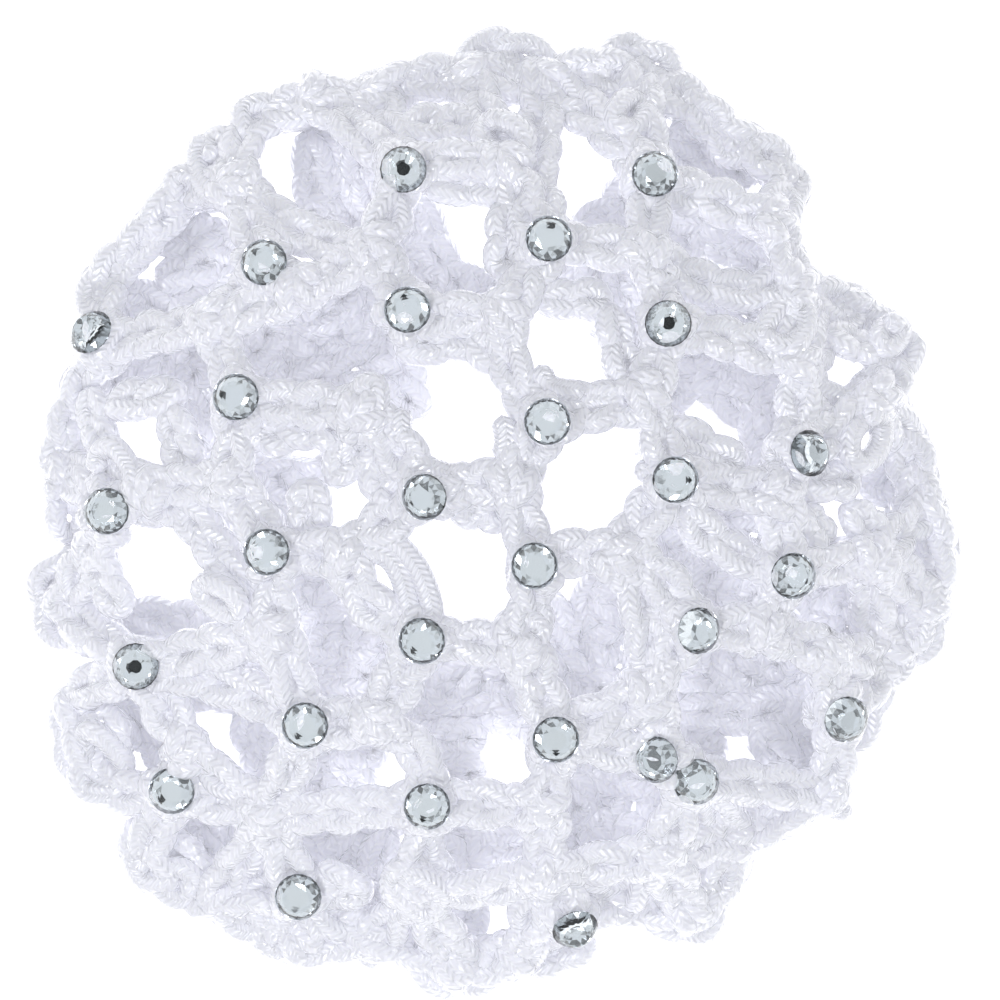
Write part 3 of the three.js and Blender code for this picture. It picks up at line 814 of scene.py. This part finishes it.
@material_of
def mirror_foil(tree, crystal):
    """Vacuum-laid silver behind the glass: a clean mirror, a little cold in tint."""
    return add_node(
        tree, "BsdfPrincipled", in_Base_Color=(*crystal.foil_colour, 1.0),
        in_Metallic=1.0, in_Roughness=0.05,
    )


# Strength of the table's own light, and of the light that the tent sheds evenly.
TABLE_GLOW = 0.9
TENT_LIGHT = 0.22

# The tent as it is mirrored: patches across it, their level where they are openings and where
# they are cloth, and the noise between which they turn from one to the other.
TENT_PATCHES = 11.0
OPENING_LEVEL = 0.2
CLOTH_LEVEL = 1.08
CLOTH_EDGE = (0.41, 0.47)

# What is added to that noise by how far a direction rises, 0 at the horizon and 1 straight up:
# the rise it starts and ends at, and how much at each.
ADDED_CLOTH = (
    (0.62, 0.84, -0.035, 0.09),
    (0.1, 0.35, 0.07, 0.0),
)

# The rise at the rim of the camera's lens, and the lens's level.
LENS_RIM = (0.9935, 0.9945)
LENS_LEVEL = 0.04


@material_of
def white_table(tree, stage):
    """A lit table of white acrylic: bright enough that nothing on it throws a shadow."""
    colour = (*stage.table_colour, 1.0)
    matt = add_node(tree, "BsdfDiffuse", in_Color=colour)
    glow = add_node(tree, "Emission", in_Color=colour, in_Strength=TABLE_GLOW)
    return add_node(tree, "AddShader", [(0, matt), (1, glow)])


def soft_room():
    """A pale tent that sheds an even light. The crystals and the yarn's gloss mirror its cloth,
    its openings, which are dull and rare overhead and at the horizon, and the dark lens straight
    above. A camera that looks past the table sees plain white."""
    world = bpy.data.worlds.new("soft_room")
    world.use_nodes = True
    tree = world.node_tree
    tree.nodes.clear()
    looks = add_node(tree, "TexCoord").outputs["Generated"]
    *_, rise = add_node(tree, "SeparateXYZ", [(0, looks)]).outputs
    patches = add_node(
        tree, "TexNoise", [("Vector", looks)], in_Scale=TENT_PATCHES, in_Detail=1.5
    )
    cover = patches
    for start, end, first, last in ADDED_CLOTH:
        added = add_node(
            tree, "MapRange", [(0, rise)], in_1=start, in_2=end, in_3=first, in_4=last
        )
        cover = add_node(tree, "Math", [(0, cover), (1, added)], operation="ADD")
    cloth = add_node(
        tree, "MapRange", [(0, cover)],
        in_1=CLOTH_EDGE[0], in_2=CLOTH_EDGE[1], in_3=OPENING_LEVEL, in_4=CLOTH_LEVEL,
    )
    lens = add_node(
        tree, "MapRange", [(0, rise)],
        in_1=LENS_RIM[0], in_2=LENS_RIM[1], in_3=1.0, in_4=LENS_LEVEL,
    )
    strength = add_node(tree, "Math", [(0, cloth), (1, lens)], operation="MULTIPLY")
    tints = add_node(
        tree, "Mix", [(0, patches)], data_type="RGBA",
        in_6=(*linear("#f2f5f3"), 1.0), in_7=(*linear("#f1f5ff"), 1.0),
    )
    mirrored = add_node(
        tree, "Background", [("Color", tints.outputs[2]), ("Strength", strength)]
    )
    even = add_node(
        tree, "Background", in_Color=(*linear("#f8fafe"), 1.0), in_Strength=TENT_LIGHT
    )
    plain = add_node(tree, "Background", in_Color=(1.0, 1.0, 1.0, 1.0), in_Strength=1.0)
    ray = add_node(tree, "LightPath").outputs
    lit = add_node(tree, "MixShader", [(0, ray["Is Diffuse Ray"]), (1, mirrored), (2, even)])
    both = add_node(tree, "MixShader", [(0, ray["Is Camera Ray"]), (1, lit), (2, plain)])
    add_node(tree, "OutputWorld", [(0, both)])
    return world


def yarn_material():
    """The one yarn material, made the first time that it is asked for."""
    found = bpy.data.materials.get("braided_rayon")
    return found or braided_rayon(bpy.context.scene.bun_net_yarn)


# Pieces.

# From the chart's right, against the clock.
QUARTERS = ("east", "north", "west", "south")


def quarter_at(x, y):
    """Which quarter of the net a point lies in."""
    return QUARTERS[round(math.degrees(math.atan2(y, x)) / 90) % 4]


def quarter_of(way):
    """Which quarter of the net the middle of a line lies in."""
    middle, *_ = way.at(way.length / 2)
    return quarter_at(middle.x, middle.y)


def knots_of(courses):
    """The names of the knots that some courses pass, in order."""
    return sorted({word.split("~")[0] for course in courses for word in course.split()})


def knot_wraps(names, table, radius, turns):
    """Yarn wound round each knot, by quarter of the net: broader and flatter under a crystal."""
    wraps = {quarter: [] for quarter in QUARTERS}
    for name in names:
        point, upright = table[name]
        rng = random.Random(name)
        way = rng.uniform(0, math.pi)
        axis = Vector((math.cos(way), math.sin(way), 0))
        broad, flat = (SEAT_BROAD, SEAT_FLAT) if name in STONE_KNOTS else (1.0, 1.0)
        wrap = wrap_strand(
            point, upright, axis, radius * broad, turns, KNOT_ADVANCE, rng, flat, KNOT_VEER
        )
        wraps[quarter_at(point.x, point.y)].append(wrap)
    return wraps


def mouth_course():
    """The course through every knot of the mouth and back to the first."""
    return " ".join([*MOUTH_KNOTS, next(iter(MOUTH_KNOTS))])


def parts_of(way, count):
    """A line cut into so many parts, each with the same number of points."""
    cuts = [round(i * (len(way.points) - 1) / count) for i in range(count + 1)]
    return [
        Way(way.points[first : last + 1], way.uprights[first : last + 1])
        for first, last in zip(cuts, cuts[1:])
    ]


# The table's reach from its middle, and the lamps' size and distance from the net, in metres.
TABLE_REACH = 1.5
LAMP_SIZE = 0.1
LAMP_DISTANCE = 0.7

# Soft lamps round the net: name, the way each stands and its tilt from upright in degrees, and
# its power in watts.
LAMPS = (
    ("softbox_left", 160, 42, 0.86),
    ("softbox_back", 60, 40, 0.45),
    ("softbox_right", -30, 42, 0.6),
    ("softbox_front", -110, 42, 1.2),
)

# The point that the camera looks straight down on, and the width of its sensor, in millimetres.
CAMERA_AIM = (-0.05, 1.85, 12)
SENSOR_WIDTH = 36.0


class BUNNET_OT_stage(bpy.types.Operator):
    """Sets the white table, the soft lights and the camera over the net."""

    bl_idname = "bun_net.set_stage"
    bl_label = "Set Stage"

    def execute(self, context):
        stage = context.scene.bun_net_stage
        sheet = bmesh.new()
        bmesh.ops.create_grid(sheet, x_segments=1, y_segments=1, size=TABLE_REACH)
        mesh = bpy.data.meshes.new("table")
        sheet.to_mesh(mesh)
        sheet.free()
        mesh.materials.append(white_table(stage))
        table = add_object("table", mesh)

        context.scene.world = soft_room()
        for name, way, tilt, power in LAMPS:
            lamp = bpy.data.lights.new(name, "AREA")
            lamp.size = LAMP_SIZE
            lamp.energy = power
            lamp.color = linear("#f9faff")
            light = add_object(name, lamp)
            towards = leaning(tilt, way)
            light.location = towards * LAMP_DISTANCE
            light.rotation_mode = "QUATERNION"
            light.rotation_quaternion = towards.to_track_quat("Z", "Y")
            light.visible_camera = False

        camera = bpy.data.cameras.new("camera")
        camera.lens = stage.lens
        camera.sensor_width = SENSOR_WIDTH
        seat = add_object("camera", camera)
        distance = stage.view_width * stage.lens / SENSOR_WIDTH
        x, y, z = (coordinate * MM for coordinate in CAMERA_AIM)
        seat.location = (x, y, z + distance)
        camera.clip_start = distance * 0.5
        camera.clip_end = distance * 2
        context.scene.camera = seat

        context.scene.view_settings.view_transform = "Standard"
        context.scene.view_settings.look = "None"
        return {"FINISHED"}


class BUNNET_OT_crown(bpy.types.Operator):
    """Works the open crown in chains of stitches with loops and picots, a piece to a quarter."""

    bl_idname = "bun_net.work_crown"
    bl_label = "Work Crown"

    def execute(self, context):
        yarn = context.scene.bun_net_yarn
        table = crown_table()
        strands = knot_wraps(knots_of(CROWN_COURSES), table, radius=1.3, turns=3.0)
        for i, course in enumerate([*EDGE_COURSES, *CROWN_COURSES]):
            way = course_way(course, table)
            strands[quarter_of(way)].append(chain_strand(way, yarn, f"crown{i}"))
        for i, row in enumerate(CROWN_FILLS):
            way = short_way(
                row, lambda x, y: (on_crown(x, y) - UP * FILL_SINK, dome_normal(x, y))
            )
            fill = chain_strand(way, yarn, f"fill{i}", tight=0.82, least=2)
            strands[quarter_at(*row[:2])].append(fill)
        for row in CROWN_LOOPS:
            loop = [on_crown(x, y) + UP * LOOP_RISE for x, y in pairs(row)]
            strands[quarter_at(*row[:2])].append(loop)
        for i, (x, y, radius) in enumerate(CROWN_PICOTS):
            rng = random.Random(f"picot{i}")
            lean = Vector((rng.uniform(-1, 1), rng.uniform(-1, 1), 0)) * PICOT_LEAN
            facing = dome_normal(x, y) + lean
            centre = on_crown(x, y) + facing * PICOT_RISE
            turns = rng.uniform(*PICOT_TURNS)
            ring = ring_strand(centre, facing.normalized(), radius, turns, rng)
            strands[quarter_at(x, y)].append(ring)
        for quarter, lines in strands.items():
            piece = yarn_piece(
                f"crown_stitches_{quarter}", lines, yarn.thickness, yarn_material()
            )
            ride(piece, "cord", "crown_net")
        return {"FINISHED"}


class BUNNET_OT_border(bpy.types.Operator):
    """Whips the crown's widest round to the underside's with turns of yarn, and adds lobes."""

    bl_idname = "bun_net.work_border"
    bl_label = "Work Border"

    def execute(self, context):
        yarn = context.scene.bun_net_yarn
        table = crown_table()
        lobes = []
        for i, row in enumerate(BORDER_LOBES):
            way = short_way(row, lambda x, y: (level(x, y, LOBE_HEIGHT), UP))
            lobes.append(chain_strand(way, yarn, f"lobe{i}"))
        for i, course in enumerate(EDGE_COURSES):
            way = course_way(course, table)
            rng = random.Random(f"border{i}")
            lines = []
            count = round(way.length / WHIP_PITCH)
            for j in range(count):
                along = (j + rng.uniform(*WHIP_PLACE)) * way.length / count
                point, forward, *_ = way.at(along)
                point.z = WHIP_HEIGHT
                lean = rng.uniform(-WHIP_LEAN, WHIP_LEAN)
                axis = Vector((forward.x, forward.y, lean)).normalized()
                turn = wrap_strand(
                    point, UP, axis, radius=1.2, turns=1.25, advance=1.6, rng=rng, flat=2.1
                )
                lines.append(turn)
            lines += lobes[i :: len(EDGE_COURSES)]
            name = f"border_stitches_{i + 1}"
            piece = yarn_piece(name, lines, yarn.thickness, yarn_material())
            ride(piece, "cord", "crown_net", "underside_net")
        return {"FINISHED"}


class BUNNET_OT_underside(bpy.types.Operator):
    """Works the underside's chains, and the yarn over the elastic, a piece to a quarter."""

    bl_idname = "bun_net.work_underside"
    bl_label = "Work Underside"

    def execute(self, context):
        yarn = context.scene.bun_net_yarn
        table = under_table()
        strands = knot_wraps(knots_of(UNDER_COURSES), table, radius=0.85, turns=2.0)
        for i, course in enumerate([*EDGE_COURSES, *UNDER_COURSES]):
            way = course_way(course, table)
            strands[quarter_of(way)].append(chain_strand(way, yarn, f"under{i}", roll=0.3))
        for i, row in enumerate(UNDER_FILLS):
            way = short_way(row, lambda x, y: (level(x, y, UNDER_FILL_HEIGHT), UP))
            fill = chain_strand(way, yarn, f"underfill{i}", roll=0.3, tight=0.9, least=2)
            strands[quarter_at(*row[:2])].append(fill)
        for i, part in enumerate(parts_of(course_way(mouth_course(), table), MOUTH_PARTS)):
            over = over_strand(part, random.Random(f"mouth{i}"))
            strands[quarter_of(part)].append(over)
        floor = yarn.thickness / 2 / MM + TABLE_GAP
        for strand in sum(strands.values(), []):
            for point in strand:
                point.z = max(point.z, floor)
        for quarter, lines in strands.items():
            piece = yarn_piece(
                f"underside_stitches_{quarter}", lines, yarn.thickness, yarn_material(),
                sides=UNDER_SIDES,
            )
            ride(piece, "cord", "underside_net")
        return {"FINISHED"}


class BUNNET_OT_elastic(bpy.types.Operator):
    """Runs the covered elastic through the mouth, with its ends past each other."""

    bl_idname = "bun_net.run_elastic"
    bl_label = "Run Elastic"

    def execute(self, context):
        around = course_way(mouth_course(), under_table()).points
        line = [*around[::ELASTIC_SKIP], *around[1 : 2 * ELASTIC_SKIP + 1 : ELASTIC_SKIP]]
        piece = yarn_piece(
            "elastic", [line], ELASTIC_THICKNESS * MM, covered_elastic(), step=ELASTIC_STEP
        )
        ride(piece, "elastic", "elastic_cord")
        return {"FINISHED"}


# A crystal's cut, ring by ring from its back: height as a share of the crystal's, radius as a
# share of the girdle's, how many corners, and the turn in corners.
CUT_RINGS = (
    (0.0, 1.0, 18, 0.0),
    (0.08, 1.0, 18, 0.0),
    (0.5, 0.82, 18, 0.5),
    (0.84, 0.64, 18, 0.0),
    (1.0, 0.5, 9, 0.5),
)

# A crystal that leans by less than so many degrees mirrors the camera's lens in its table, which
# is then cut to this share of the girdle's radius.
LEVEL_TILT = 3
LEVEL_TABLE = 0.3

# Faces that meet at less than this many degrees are one facet.
FLAT_ANGLE = 1

# Faces that point down by more than this are the back, which carries the foil.
BACK_FACING = -0.9


class BUNNET_OT_crystals(bpy.types.Operator):
    """Sets a cut crystal over its foil on each of the crown's seats."""

    bl_idname = "bun_net.set_crystals"
    bl_label = "Set Crystals"

    def execute(self, context):
        crystal = context.scene.bun_net_crystals
        glass, foil = cut_crystal(crystal), mirror_foil(crystal)
        girdle = crystal.diameter / 2
        for name, (x, y, tilt, way) in STONE_KNOTS.items():
            facing = random.Random(name).uniform(0, math.pi)
            cut = bmesh.new()
            for height_share, radius_share, corners, turn in CUT_RINGS:
                if height_share == 1 and tilt < LEVEL_TILT:
                    radius_share = LEVEL_TABLE
                spin = Matrix.Rotation(math.tau * turn / corners + facing, 4, "Z")
                rise = Matrix.Translation((0, 0, crystal.height * height_share))
                bmesh.ops.create_circle(
                    cut, segments=corners, radius=girdle * radius_share, matrix=rise @ spin
                )
            hull = bmesh.ops.convex_hull(cut, input=cut.verts)
            bmesh.ops.delete(cut, geom=hull["geom_interior"], context="VERTS")
            bmesh.ops.dissolve_limit(
                cut, angle_limit=math.radians(FLAT_ANGLE), verts=cut.verts, edges=cut.edges
            )
            bmesh.ops.recalc_face_normals(cut, faces=cut.faces)
            for face in cut.faces:
                face.material_index = int(face.normal.z < BACK_FACING)
            upright = leaning(tilt, way)
            seat = (on_crown(x, y) + upright * CRYSTAL_SEAT) * MM
            lean = UP.rotation_difference(upright).to_matrix().to_4x4()
            bmesh.ops.transform(cut, matrix=Matrix.Translation(seat) @ lean, verts=cut.verts)
            piece_name = f"crystal_{name[1:]}"
            mesh = bpy.data.meshes.new(piece_name)
            cut.to_mesh(mesh)
            cut.free()
            mesh.materials.append(glass)
            mesh.materials.append(foil)
            piece = add_object(piece_name, mesh)
            ride(piece, "crystal", f"stone_{name[1:]}")
        return {"FINISHED"}


class BUNNET_PT_panel(bpy.types.Panel):
    """Sizes and steps of the bun net."""

    bl_idname = "BUNNET_PT_panel"
    bl_label = "Bun Net"
    bl_space_type = "VIEW_3D"
    bl_region_type = "UI"
    bl_category = "Bun Net"

    def draw(self, context):
        for group in (
            context.scene.bun_net_yarn,
            context.scene.bun_net_crystals,
            context.scene.bun_net_stage,
        ):
            for name in group.__annotations__:
                self.layout.prop(group, name)
        for step in STEPS:
            self.layout.operator(step.bl_idname)


STEPS = (
    BUNNET_OT_stage,
    BUNNET_OT_crown,
    BUNNET_OT_border,
    BUNNET_OT_underside,
    BUNNET_OT_elastic,
    BUNNET_OT_crystals,
)
GROUPS = {
    "bun_net_yarn": YarnSettings,
    "bun_net_crystals": CrystalSettings,
    "bun_net_stage": StageSettings,
}


def register():
    """Registers the settings, the steps and the panel."""
    for cls in (*GROUPS.values(), *STEPS, BUNNET_PT_panel):
        bpy.utils.register_class(cls)
    for name, group in GROUPS.items():
        setattr(bpy.types.Scene, name, bpy.props.PointerProperty(type=group))


def unregister():
    """Takes back what register adds."""
    for name in GROUPS:
        delattr(bpy.types.Scene, name)
    for cls in (BUNNET_PT_panel, *reversed(STEPS), *GROUPS.values()):
        bpy.utils.unregister_class(cls)


def main():
    """Builds the whole net."""
    register()
    bpy.ops.bun_net.set_stage()
    bpy.ops.bun_net.work_crown()
    bpy.ops.bun_net.work_border()
    bpy.ops.bun_net.work_underside()
    bpy.ops.bun_net.run_elastic()
    bpy.ops.bun_net.set_crystals()


if __name__ == "__main__":
    main()
